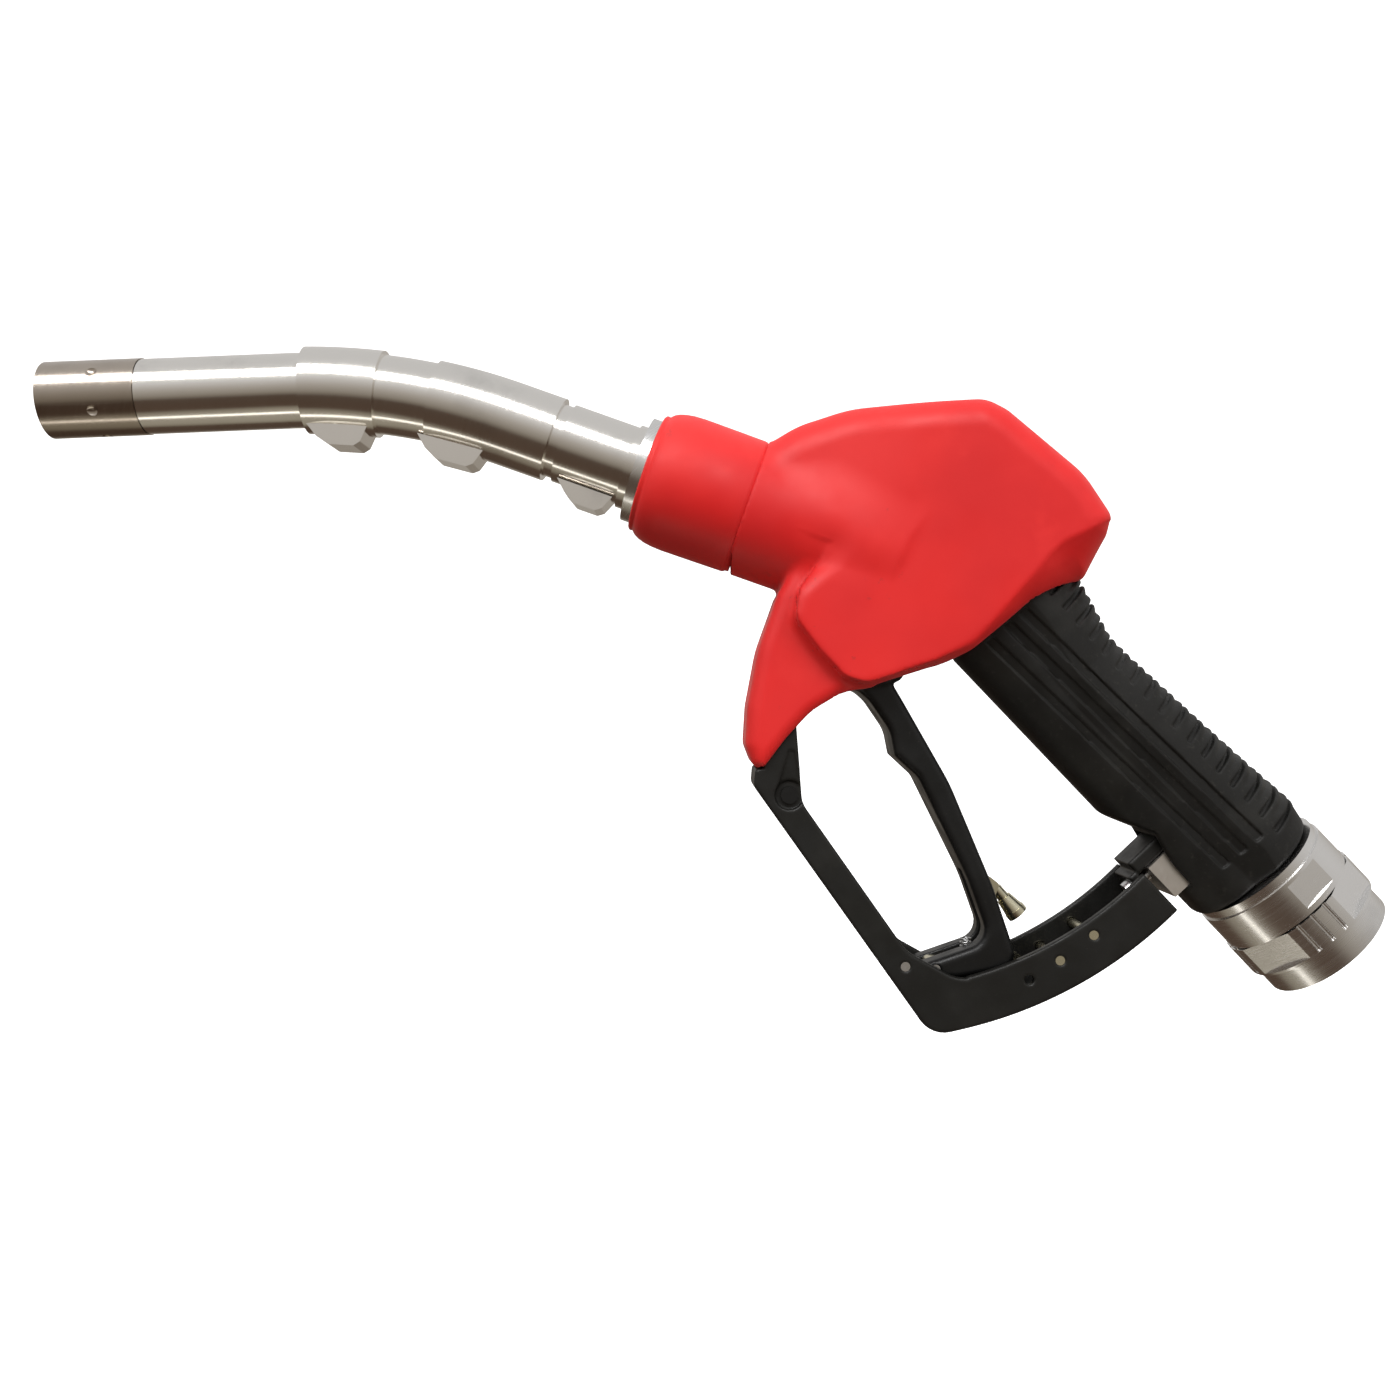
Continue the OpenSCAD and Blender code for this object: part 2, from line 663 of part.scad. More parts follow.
module spout_boot() color("red") barrel_frame() rotate([0, 90, 0]) difference() {
    union() {
        translate([0, 0, 1]) cylinder(r1 = 18.8, r2 = 21.8, h = 9);
        rod(21.8, 10, 20);
        translate([0, 0, 20]) cylinder(r1 = 21.8, r2 = 21.2, h = neck_k - 3.6 - 20);
    }
    rod(17.2, 0, 3.1);
    rod(barrel_r, 3, 60);
}

// ---- Grip ----
grip_bottom = 34.8;
// A length of the grip, between two distances, with its back and front surfaces
module grip_part(low, high, back, front, half) {
    hull() {
        translate([back - half, 0, low]) cylinder(r = half, h = high - low, $fn = 32);
        translate([front + half - 3, 0, low]) cylinder(r = half - 3, h = high - low, $fn = 32);
    }
}

module grip_sleeve() color("black") handle_frame() difference() {
    union() {
        grip_part(grip_bottom, 46.8, 20.6, -23.4, 19.6);
        grip_part(46.8, 78, 19.6, -19.6, 18.8);
        grip_part(78, grip_top, 18.4, -24.2, 19.4);
    }
    rod(casting_wall_r, grip_bottom - 1, grip_top + 1);
    // Opening for the casting's lug and the guard's block
    translate([-40, -10.2, 46.8]) cube([40, 20.4, 18.4]);
}

// ---- Inlet ----
module inlet_ring() color("silver") handle_frame() difference() {
    union() {
        rod(ring_r, ring_bottom, 31.6);
        rod(ring_r - 0.6, 31.6, ring_top);
    }
    rod(17.1, ring_bottom - 1, tube_bottom);
    rod(casting_wall_r, tube_bottom - 1, ring_top + 1);
    // Spanner flats
    for (turn = [0, 180]) rotate([0, 0, turn + ring_turn]) translate([-30, ring_r - ring_flat_depth, 21.4])
        cube([60, 10, 9]);
}

module swivel_nut() color("silver") handle_frame() difference() {
    union() {
        rod(nut_mouth_r, 0, 8.4);
        rod(nut_r, 8.2, nut_top);
        rod(nut_neck_r, 18, 29.4);
    }
    rod(thread_r, -1, thread_len);
    rod(washer_r + run_gap, thread_len - 1, thread_len + washer_seat);
    rod(nut_bore_r, thread_len, 31);
    // Four spanner flats, and three grooves between one flat and the next
    for (turn = [0:90:359]) rotate([0, 0, turn + nut_turn]) {
        rotate([0, 0, 45]) translate([flat_apothem, -15, 9]) cube([10, 30, 20]);
        for (i = [-1, 0, 1]) rotate([0, 0, groove_step * i]) translate([nut_r, 0, 9])
            cylinder(r = groove_r, h = 20, $fn = 24);
    }
}

module swivel_oring() color("black") handle_frame() translate([0, 0, 22.6]) oring(15.35, 1.4);

module swivel_balls() color("silver") handle_frame() for (turn = [0:30:359]) rotate([0, 0, turn])
    translate([15.35, 0, 26.8]) sphere(r = 1.6);

module swivel_dust_seal() color("black") handle_frame() ring(20.8, 14, nut_top + 0.1, ring_bottom - 0.1);

module hose_washer() color("black") handle_frame()
    ring(washer_r, 10.4, thread_len + 0.1, thread_len + washer_seat);

module inlet_strainer() color("goldenrod") handle_frame() difference() {
    union() {
        rod(10.9, 30.2, 32);
        rod(8, 31, 70);
    }
    rod(7.3, 29, 69.2);
    for (i = [0:4], turn = [0, 90]) translate([0, 0, 38 + 6.4 * i]) rotate([90, 0, turn])
        cylinder(r = 2.4, h = 20, center = true);
}

body_casting();
body_cover();
spout_boot();
grip_sleeve();
spout_tube();
spout_tip_ferrule();
spout_anchor_ring();
spout_front_sleeve();
spout_middle_sleeve();
spout_rear_sleeve();
spout_nut();
spout_oring();
vent_tube();
vent_tip_fitting();
attitude_ball();
attitude_ball_cage();
check_valve_seat();
check_valve_poppet();
check_valve_spring();
check_valve_guide();
main_valve_seat();
main_valve_stem();
main_valve_poppet();
main_valve_seal();
main_valve_spring();
main_valve_cap();
main_valve_cap_oring();
stem_gland_nut();
stem_packing();
diaphragm();
diaphragm_cap();
diaphragm_cap_screws();
diaphragm_spring();
latch_plunger();
latch_balls();
latch_plunger_spring();
plunger_bush();
lever();
lever_pin();
lever_roller();
roller_pin();
hold_open_catch();
catch_knob();
catch_pin();
catch_spring();
hand_guard();
guard_front_screw();
guard_front_nut();
guard_rear_block();
guard_rear_screw();
lever_stop_pin();
latch_pins();
inlet_ring();
swivel_nut();
swivel_oring();
swivel_balls();
swivel_dust_seal();
hose_washer();
inlet_strainer();
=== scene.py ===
"""Automatic fuel nozzle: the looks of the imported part.

Moulded pieces are skins over distance fields worked out here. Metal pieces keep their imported
shape and get chamfered edges and a finish. Lengths in the piece functions are millimetres.
"""
import json
import math

import bmesh
import bpy
import numpy as np
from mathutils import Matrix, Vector


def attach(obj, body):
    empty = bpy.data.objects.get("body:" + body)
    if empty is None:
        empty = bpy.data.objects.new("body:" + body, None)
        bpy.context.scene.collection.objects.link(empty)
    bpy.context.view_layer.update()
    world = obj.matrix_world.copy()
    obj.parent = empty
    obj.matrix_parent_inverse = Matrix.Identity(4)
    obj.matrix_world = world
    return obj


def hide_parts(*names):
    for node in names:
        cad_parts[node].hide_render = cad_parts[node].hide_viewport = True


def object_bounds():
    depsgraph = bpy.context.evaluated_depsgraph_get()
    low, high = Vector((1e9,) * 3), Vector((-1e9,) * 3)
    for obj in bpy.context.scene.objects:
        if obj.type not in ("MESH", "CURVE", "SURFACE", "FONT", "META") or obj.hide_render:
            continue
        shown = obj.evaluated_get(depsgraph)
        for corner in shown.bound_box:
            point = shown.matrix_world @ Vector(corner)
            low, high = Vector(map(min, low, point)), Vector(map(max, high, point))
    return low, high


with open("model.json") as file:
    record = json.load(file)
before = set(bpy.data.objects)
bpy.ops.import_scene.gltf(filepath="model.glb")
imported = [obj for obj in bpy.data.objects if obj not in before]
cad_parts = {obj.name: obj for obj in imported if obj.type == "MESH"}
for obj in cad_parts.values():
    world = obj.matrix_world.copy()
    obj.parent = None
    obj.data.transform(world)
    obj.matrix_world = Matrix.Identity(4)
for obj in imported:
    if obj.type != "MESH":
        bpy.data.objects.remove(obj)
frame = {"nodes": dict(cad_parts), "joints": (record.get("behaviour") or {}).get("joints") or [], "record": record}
cad_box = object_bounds()
MM = 0.001


# ---- Frames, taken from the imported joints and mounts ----
class Plane:
    """A frame in the plane of symmetry: a point is (right, across, up) from an origin, in mm."""

    def __init__(self, origin, right, up):
        self.origin = np.array(origin, float)
        self.right = np.array(right, float)
        self.up = np.array(up, float)

    def world(self, points):
        a, y, b = np.asarray(points, float).T
        spots = self.origin + np.outer(a, self.right) + np.outer(b, self.up)
        return np.column_stack([spots[:, 0], y, spots[:, 1]])

    def local(self, x, z):
        """The (right, up) parts of a point given in the object's own frame."""
        dx, dz = x - self.origin[0], z - self.origin[1]
        return dx * self.right[0] + dz * self.right[1], dx * self.up[0] + dz * self.up[1]


def flat(vector, scale=1.0):
    """The x and z of a vector, as it lies in the plane of symmetry."""
    return np.array([vector[0], vector[2]], float) * scale


joints = {joint["name"]: joint for joint in frame["joints"]}
mounts = {mount["name"]: mount for mount in frame["record"]["mounts"]}

# The latch plunger's place along the barrel, and the lever pin's distance below the barrel's axis
PLUNGER_K, PIVOT_DROP = 76.9, 32.4
barrel_rear = -flat(joints["check_valve_open"]["axis"])
barrel_up = -flat(joints["latch_plunger_drop"]["axis"])
lever_pivot = flat(joints["lever_squeeze"]["pos_m"], 1 / MM)
inlet_mouth = flat(mounts["inlet_thread"]["pos_m"], 1 / MM)
handle_up = -flat(mounts["inlet_thread"]["axis"])

SIDE = Plane((0, 0), (1, 0), (0, 1))
BARREL = Plane(lever_pivot - PLUNGER_K * barrel_rear + PIVOT_DROP * barrel_up, barrel_rear, barrel_up)
HANDLE = Plane(inlet_mouth, (handle_up[1], -handle_up[0]), handle_up)


# ---- Distance fields: negative inside, in mm, for arrays or grids of points ----
def smooth_min(a, b, r):
    h = np.maximum(r - np.abs(a - b), 0) / r
    return np.minimum(a, b) - h * h * r / 4


def smooth_max(a, b, r):
    return -smooth_min(-a, -b, r)


def ramp(x, low, high):
    """0 below low, 1 above high, smooth between."""
    t = np.clip((x - low) / (high - low), 0, 1)
    return t * t * (3 - 2 * t)


def outline(corners, steps=6):
    """A closed outline from corners (a, b, radius), each corner an arc."""
    points = []
    count = len(corners)
    for i in range(count):
        p, q, s = (np.array(corners[(i + j) % count][:2], float) for j in (-1, 0, 1))
        r = corners[i][2]
        if r == 0:
            points.append(q)
            continue
        a = (p - q) / np.linalg.norm(p - q)
        b = (s - q) / np.linalg.norm(s - q)
        half = math.acos(float(np.clip(a @ b, -1, 1))) / 2
        centre = q + (a + b) / np.linalg.norm(a + b) * r / math.sin(half)
        start = q + a * r / math.tan(half) - centre
        finish = q + b * r / math.tan(half) - centre
        first = math.atan2(start[1], start[0])
        sweep = (math.atan2(finish[1], finish[0]) - first + 3 * math.pi) % (2 * math.pi) - math.pi
        for j in range(steps + 1):
            turn = first + sweep * j / steps
            points.append(centre + r * np.array([math.cos(turn), math.sin(turn)]))
    return np.array(points)


def inside_outline(points, a, b):
    """Signed distance to a closed outline."""
    best = None
    odd = None
    for p, q in zip(points, np.roll(points, -1, axis=0)):
        e = q - p
        wa, wb = a - p[0], b - p[1]
        t = np.clip((wa * e[0] + wb * e[1]) / (e @ e), 0, 1)
        near = (wa - e[0] * t) ** 2 + (wb - e[1] * t) ** 2
        above, below = b >= p[1], b < q[1]
        left = e[0] * wb > e[1] * wa
        flip = (above & below & left) | ~(above | below | left)
        best = near if best is None else np.minimum(best, near)
        odd = flip if odd is None else odd ^ flip
    return np.sqrt(best) * np.where(odd, -1, 1)


def round_corner(p, q, r):
    """What is inside both p and q, the edge where they meet rounded to a radius."""
    p, q = p + r, q + r
    return np.minimum(np.maximum(p, q), 0) + np.hypot(np.maximum(p, 0), np.maximum(q, 0)) - r


def slab(d, y, half, r):
    """An outline's distance d made into a plate of a half thickness, its edges rounded."""
    return round_corner(d, np.abs(y) - half, r)


def pin_hole(at, r, a, b):
    return np.hypot(a - at[0], b - at[1]) - r


# ---- Skins ----
def mixed_cells(inside):
    total = np.zeros([n - 1 for n in inside.shape], np.int8)
    for i in (0, 1):
        for j in (0, 1):
            for k in (0, 1):
                total += inside[i:inside.shape[0] - 1 + i, j:inside.shape[1] - 1 + j,
                                k:inside.shape[2] - 1 + k]
    return (total > 0) & (total < 8)


def net(d):
    """Vertices, in grid units, and quads of the surface where a grid of distances is zero."""
    inside = d < 0
    cells = mixed_cells(inside)
    active = np.argwhere(cells)
    index = np.full(cells.shape, -1, np.int64)
    index[tuple(active.T)] = np.arange(len(active))
    total = np.zeros((len(active), 3))
    hits = np.zeros(len(active))
    quads = []
    for a in range(3):
        b, c = (a + 1) % 3, (a + 2) % 3
        for ob in (0, 1):
            for oc in (0, 1):
                start = active.copy()
                start[:, b] += ob
                start[:, c] += oc
                end = start.copy()
                end[:, a] += 1
                da, db = d[tuple(start.T)], d[tuple(end.T)]
                cross = (da < 0) != (db < 0)
                point = start.astype(float)
                point[:, a] += np.where(cross, da / np.where(cross, da - db, 1), 0)
                total += point * cross[:, None]
                hits += cross
        low = np.take(inside, range(inside.shape[a] - 1), axis=a)
        high = np.take(inside, range(1, inside.shape[a]), axis=a)
        edges = np.argwhere(low != high)
        keep = (edges[:, b] > 0) & (edges[:, c] > 0)
        keep &= (edges[:, b] < inside.shape[b] - 1) & (edges[:, c] < inside.shape[c] - 1)
        edges = edges[keep]
        ring = []
        for ob, oc in ((-1, -1), (0, -1), (0, 0), (-1, 0)):
            cell = edges.copy()
            cell[:, b] += ob
            cell[:, c] += oc
            ring.append(index[tuple(cell.T)])
        ring = np.array(ring).T
        outward = low[tuple(edges.T)]
        ring[~outward] = ring[~outward][:, ::-1]
        quads.append(ring)
    return total / hits[:, None], np.vstack(quads)


def settle(points, field, rounds=3, reach=0.4):
    """Moves points onto the exact surface of a field."""
    eps = 0.02
    for _ in range(rounds):
        a, y, b = points.T
        d = field(a, y, b)
        slope = np.column_stack([
            field(a + eps, y, b) - field(a - eps, y, b),
            field(a, y + eps, b) - field(a, y - eps, b),
            field(a, y, b + eps) - field(a, y, b - eps)]) / (2 * eps)
        size = np.maximum((slope ** 2).sum(1), 0.05)
        move = slope * (d / size)[:, None]
        points = points - np.clip(move, -reach, reach)
    return points


def mesh_object(name, points, faces, material):
    mesh = bpy.data.meshes.new(name)
    mesh.from_pydata((points * MM).tolist(), [], faces)
    mesh.validate()
    mesh.shade_smooth()
    mesh.materials.append(material)
    obj = bpy.data.objects.new(name, mesh)
    bpy.context.scene.collection.objects.link(obj)
    return obj


def skin(name, field, low, high, step, plane, material):
    """A mesh of a field's surface, found on a grid in the plane's own (right, across, up)."""
    axes = [np.arange(low[i], high[i] + step, step) for i in range(3)]
    a, y, b = np.meshgrid(*axes, indexing="ij", sparse=True)
    d = np.broadcast_to(field(a, y, b), [len(axis) for axis in axes])
    points, quads = net(np.ascontiguousarray(d))
    points = settle(np.array(low) + points * step, field, reach=0.5 * step)
    return mesh_object(name, plane.world(points), quads.tolist(), material)


def lathe(name, profile, plane, material, segments=160):
    """A closed profile of (place, radius) turned about the plane's right-hand axis."""
    turns = np.linspace(0, 2 * math.pi, segments, endpoint=False)
    places, radii = np.array(profile, float).T
    points = np.array([(k, r * math.sin(t), r * math.cos(t)) for t in turns for k, r in zip(places, radii)])
    n = len(places)
    faces = []
    for i in range(segments):
        for j in range(n):
            here, there = i * n, (i + 1) % segments * n
            faces.append((here + j, here + (j + 1) % n, there + (j + 1) % n, there + j))
    obj = mesh_object(name, plane.world(points), faces, material)
    work = bmesh.new()
    work.from_mesh(obj.data)
    bmesh.ops.recalc_face_normals(work, faces=work.faces)
    work.to_mesh(obj.data)
    work.free()
    return obj


# ---- Materials ----
class Finish:
    """A node-based material under construction."""

    def __init__(self, name, colour, roughness, metallic=0.0):
        self.material = bpy.data.materials.new(name)
        self.material.use_nodes = True
        self.tree = self.material.node_tree
        self.shader = self.tree.nodes["Principled BSDF"]
        self.colour = (*colour, 1)
        self.set("Base Color", self.colour)
        self.set("Roughness", roughness)
        self.set("Metallic", metallic)
        self.place = self.node("ShaderNodeTexCoord").outputs["Object"]
        self.height = None

    def set(self, socket, value):
        self.shader.inputs[socket].default_value = value

    def node(self, kind, **inputs):
        node = self.tree.nodes.new(kind)
        for name, value in inputs.items():
            node.inputs[name.replace("_", " ")].default_value = value
        return node

    def link(self, output, target):
        self.tree.links.new(output, target)

    def stretched(self, scale, turn=0.0):
        """Coordinates turned about Y, then scaled along each axis, for grain with a direction."""
        first = self.node("ShaderNodeMapping")
        first.inputs["Rotation"].default_value = (0, turn, 0)
        second = self.node("ShaderNodeMapping")
        second.inputs["Scale"].default_value = scale
        self.link(self.place, first.inputs["Vector"])
        self.link(first.outputs["Vector"], second.inputs["Vector"])
        return second.outputs["Vector"]

    def noise(self, scale, detail=4.0, roughness=0.55, at=None):
        node = self.node("ShaderNodeTexNoise", Scale=scale, Detail=detail, Roughness=roughness)
        self.link(at or self.place, node.inputs["Vector"])
        return node.outputs["Fac"]

    def cells(self, scale):
        node = self.node("ShaderNodeTexVoronoi", Scale=scale)
        self.link(self.place, node.inputs["Vector"])
        return node.outputs["Distance"]

    def band(self, value, low, high, to_low=0.0, to_high=1.0):
        node = self.node("ShaderNodeMapRange")
        node.interpolation_type = "SMOOTHSTEP"
        for i, number in enumerate((low, high, to_low, to_high)):
            node.inputs[i + 1].default_value = number
        self.link(value, node.inputs[0])
        return node.outputs[0]

    def math(self, kind, a, b):
        node = self.node("ShaderNodeMath")
        node.operation = kind
        for i, value in enumerate((a, b)):
            if isinstance(value, (int, float)):
                node.inputs[i].default_value = value
            else:
                self.link(value, node.inputs[i])
        return node.outputs[0]

    def tint(self, colour, amount):
        """Mixes a colour over what is there, by a mask."""
        node = self.node("ShaderNodeMix")
        node.data_type = "RGBA"
        under = self.shader.inputs["Base Color"]
        if under.links:
            self.link(under.links[0].from_socket, node.inputs["A"])
        else:
            node.inputs["A"].default_value = self.colour
        node.inputs["B"].default_value = (*colour, 1)
        self.link(amount, node.inputs["Factor"])
        self.link(node.outputs["Result"], under)
        return self

    def vary(self, socket, value, low, high, to_low, to_high):
        self.link(self.band(value, low, high, to_low, to_high), self.shader.inputs[socket])
        return self

    def bump(self, value, height, strength=1.0):
        """Adds relief of a height in metres."""
        node = self.node("ShaderNodeBump", Strength=strength, Distance=height)
        self.link(value, node.inputs["Height"])
        if self.height:
            self.link(self.height, node.inputs["Normal"])
        self.height = node.outputs["Normal"]
        self.link(self.height, self.shader.inputs["Normal"])
        return self


def red_vinyl():
    f = Finish("red_vinyl", (0.74, 0.018, 0.017), 0.5)
    f.tint((0.64, 0.011, 0.012), f.band(f.noise(18, 3), 0.42, 0.72))
    f.tint((0.78, 0.027, 0.024), f.band(f.noise(55, 5), 0.56, 0.75, 0, 0.4))
    rubbed = f.math("MULTIPLY", f.band(f.noise(240, 6, 0.7), 0.62, 0.7), f.band(f.noise(30, 2), 0.5, 0.62))
    f.tint((0.30, 0.02, 0.02), f.math("MULTIPLY", rubbed, 0.35))
    f.vary("Roughness", f.noise(70, 5), 0.3, 0.7, 0.44, 0.6)
    f.set("Specular IOR Level", 0.4)
    f.set("Sheen Weight", 0.05)
    f.set("Sheen Roughness", 0.4)
    f.bump(f.noise(2600, 2), 0.00003, 0.5)
    f.bump(f.noise(160, 3), 0.00012, 0.25)
    return f.material


def black_rubber():
    f = Finish("black_rubber", (0.0065, 0.0062, 0.0055), 0.55)
    f.tint((0.012, 0.0115, 0.010), f.band(f.noise(60, 5), 0.45, 0.7))
    f.tint((0.045, 0.042, 0.036), f.math("MULTIPLY", f.band(f.noise(500, 4, 0.7), 0.58, 0.72), 0.3))
    f.vary("Roughness", f.noise(90, 4), 0.3, 0.7, 0.46, 0.64)
    f.set("Specular IOR Level", 0.35)
    f.bump(f.noise(3200, 2), 0.00004, 0.6)
    return f.material


def black_plastic(name, base, rough):
    f = Finish(name, base, rough)
    f.tint(tuple(1.7 * c for c in base), f.band(f.noise(45, 4), 0.45, 0.7, 0, 0.8))
    f.tint((0.05, 0.047, 0.04), f.math("MULTIPLY", f.band(f.noise(700, 5, 0.75), 0.63, 0.72), 0.35))
    f.vary("Roughness", f.noise(120, 4), 0.3, 0.7, rough - 0.06, rough + 0.1)
    f.set("Specular IOR Level", 0.35)
    f.bump(f.noise(2400, 3), 0.00005, 0.5)
    return f.material


def metal(name, base, rough, direction=None, grain=0.25, pits=0.3):
    """Metal with fine marks along a direction and small pits."""
    f = Finish(name, base, rough, metallic=1.0)
    marks = f.noise(1, 5, 0.6, f.stretched(*direction)) if direction else f.noise(900, 5)
    f.tint(tuple(0.72 * c for c in base), f.band(f.noise(35, 5), 0.5, 0.75, 0, 0.6))
    specks = f.band(f.cells(420), 0.16, 0.05)
    specks = f.math("MULTIPLY", specks, f.band(f.noise(40, 3), 0.5, 0.62))
    f.tint((0.95, 0.95, 0.94), f.math("MULTIPLY", specks, pits))
    wear = f.math("ADD", marks, f.math("MULTIPLY", f.noise(30, 4), 0.5))
    f.vary("Roughness", wear, 0.5, 1.0, rough * 0.85, rough * 1.2)
    f.bump(marks, 0.000003, grain)
    f.bump(f.noise(300, 3), 0.00002, 0.1)
    return f.material


handle_turn = math.atan2(handle_up[0], handle_up[1])
barrel_turn = math.atan2(-barrel_rear[1], barrel_rear[0])
ROUND_BARREL = ((2600, 60, 60), -barrel_turn)
ROUND_HANDLE = ((60, 60, 2600), -handle_turn)

finishes = {
    "red_cover": red_vinyl(),
    "black_rubber": black_rubber(),
    "seal_rubber": black_plastic("seal_rubber", (0.008, 0.008, 0.008), 0.5),
    "black_lever": black_plastic("black_lever", (0.005, 0.005, 0.005), 0.36),
    "black_plastic": black_plastic("black_plastic", (0.0085, 0.0082, 0.0072), 0.45),
    "black_steel": black_plastic("black_steel", (0.006, 0.006, 0.006), 0.34),
    "cast_aluminium": metal("cast_aluminium", (0.74, 0.70, 0.65), 0.42, None, 0.8, 0.1),
    "turned_aluminium": metal("turned_aluminium", (0.82, 0.81, 0.80), 0.24, ROUND_HANDLE, 0.5),
    "spout_aluminium": metal("spout_aluminium", (0.84, 0.81, 0.77), 0.15, ROUND_BARREL, 0.22),
    "nickel_steel": metal("nickel_steel", (0.50, 0.44, 0.38), 0.2, ROUND_BARREL, 0.25, 0.2),
    "steel": metal("steel", (0.66, 0.66, 0.66), 0.28),
    "spring_steel": metal("spring_steel", (0.5, 0.5, 0.5), 0.3),
    "yellow_zinc": metal("yellow_zinc", (0.74, 0.70, 0.52), 0.25),
    "brass": metal("brass", (0.78, 0.60, 0.32), 0.28),
}

slots = {part["node"]: part["material_slot"] for part in frame["record"]["subparts"]}


def finish_of(node):
    return finishes[slots[node]]


def stands_for(obj, node, body="body"):
    """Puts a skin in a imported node's place, on the body that carries it."""
    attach(obj, body)
    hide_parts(node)
    return obj


# ---- Boot and main cover ----
# Where the boot meets the cover, along the barrel, and the radius of the neck behind it
SEAM_K = 34.4
NECK_R = 21.9


def make_boot():
    inner, tongue = 18.05, 19.3
    inside = [(3.4, inner), (SEAM_K + 4, inner), (SEAM_K + 4, tongue), (SEAM_K + 0.5, tongue)]
    rear_edge = [(SEAM_K + 0.5, 21.2), (SEAM_K - 0.6, 21.3), (SEAM_K - 1.2, 21.75), (SEAM_K - 1.8, 21.88)]
    outside = [(24, 22.0), (12, 22.1), (8.5, 21.9), (6, 21.5), (4, 20.9), (2.6, 20.2), (1.9, 19.6), (1.6, 19.2)]
    lip = [(1.2, 19.0), (0.7, 19.15), (0.2, 19.0), (-0.1, 18.6), (0.1, 17.9), (0.9, 17.5), (2, 17.5), (3, 17.5)]
    profile = inside + rear_edge + outside + lip
    return stands_for(lathe("spout_boot_skin", profile, BARREL, finish_of("spout_boot")), "spout_boot")


# The cover's bulk in side view, the flat part of its sides, the skirt below it and the opening under it
SILHOUETTE = outline([
    (-192, 137, 0), (-192, 150, 0), (-180, 159, 2), (-170.6, 164.6, 30), (-155, 169.2, 40), (-113.6, 171, 12),
    (-107, 167.6, 14), (-83.4, 147.8, 30), (-74.8, 134.8, 6), (-75.4, 128.9, 6), (-81.4, 115.9, 4),
    (-100.5, 108, 20), (-118, 93.6, 20), (-128, 88.2, 20), (-150.7, 81, 10), (-158, 82.6, 8),
    (-166.5, 92, 20), (-174.5, 102.4, 8), (-173.6, 112, 10), (-162.5, 126, 0)])
SIDE_FACE = outline([
    (-194, 150, 0), (-181, 170, 0), (-150, 182, 0), (-112, 182, 0), (-98, 176, 0), (-62, 137, 0),
    (-73.4, 134.2, 0), (-92.8, 126.1, 20), (-101.4, 115.8, 10), (-109.8, 105.6, 20), (-118.4, 95.4, 8),
    (-129, 90.6, 20), (-150, 83.4, 8), (-157, 85.4, 6), (-165, 93.6, 20), (-172.2, 103.2, 6),
    (-171, 112, 8), (-160.5, 127, 0), (-194, 139.5, 0)])
SKIRT = outline([
    (-170, 124, 0), (-177.4, 111, 2), (-183.5, 94, 40), (-186.9, 76, 20), (-187.6, 64, 6), (-184.8, 56.6, 4),
    (-181.2, 56.6, 2), (-174.4, 65.6, 20), (-166.6, 74, 20), (-158, 79.2, 10), (-148, 82, 0), (-140, 100, 0),
    (-150, 124, 0)])
UNDERSIDE = outline([
    (-178, 44, 0), (-183, 55, 0), (-179, 82, 4), (-164, 97, 4), (-126, 97, 4), (-122, 84, 0), (-130, 60, 0)])
COVER_WALL = 2.4
SKIRT_HALF = 17.4
UNDERSIDE_HALF = 14.9
# How fast the sides draw in past the flat part, in front and at the rear
FRONT_FALL, REAR_FALL = 2.2, 0.62
# Stretch of the handle's axis in which the cover has the grip's hole
MOUTH_MIDDLE, MOUTH_REACH = 125, 35


def cover_half(x, z, k, upper):
    """Half width of the cover's side face. Above the barrel's axis it grows out of the round neck."""
    widening = 4.6 * ramp(x + 0.3 * (z - 130), -160, -100)
    narrowing = 5.5 * upper * (1 - ramp(k, 36, 80))
    return 23.2 + widening - narrowing


def cover_bulk(x, y, z):
    """The cover as if it were solid: the round neck, the main bulk and the skirt."""
    k, m = BARREL.local(x, z)
    neck = np.maximum(np.hypot(y, m) - NECK_R, np.maximum(SEAM_K - 8 - k, k - 80))
    outer = inside_outline(SILHOUETTE, x, z)
    beyond = np.maximum(inside_outline(SIDE_FACE, x, z), 0)
    rear = ramp(x, -132, -118)
    fall = FRONT_FALL * (1 - rear) + REAR_FALL * rear
    upper = ramp(m, -17, 1)
    side = (np.abs(y) - cover_half(x, z, k, upper) + fall * beyond) / np.sqrt(1 + fall ** 2 * (beyond > 0))
    edge = 4 + 6 * ramp(z, 98, 128)
    main = round_corner(outer, side, edge)
    skirt = slab(inside_outline(SKIRT, x, z), y, SKIRT_HALF, 4.5)
    blend = 2 + 6 * upper * ramp(k, 38, 60)
    return smooth_min(smooth_min(neck, main, blend), skirt, 2.5)


# The grip along the handle, as pairs (distance s, place t or half width)
GRIP_BACK = ((30, 20.4), (34.8, 20.6), (42, 22), (60, 20.2), (80, 18.6), (112, 16.4), (120, 16.2),
             (139, 21.4), (160, 23))
GRIP_FRONT_CUT = ((34, -23.8), (46, -23.8), (67, -17.8), (81, -24.6), (150, -25))
GRIP_HALF = ((34, 20.4), (60, 19.2), (110, 18.4), (150, 19.6))
GRIP_FRONT_T = -24.4


def along(pairs, s):
    """The value at s of a line through pairs (s, value)."""
    at, values = zip(*pairs)
    return np.interp(s, at, values)


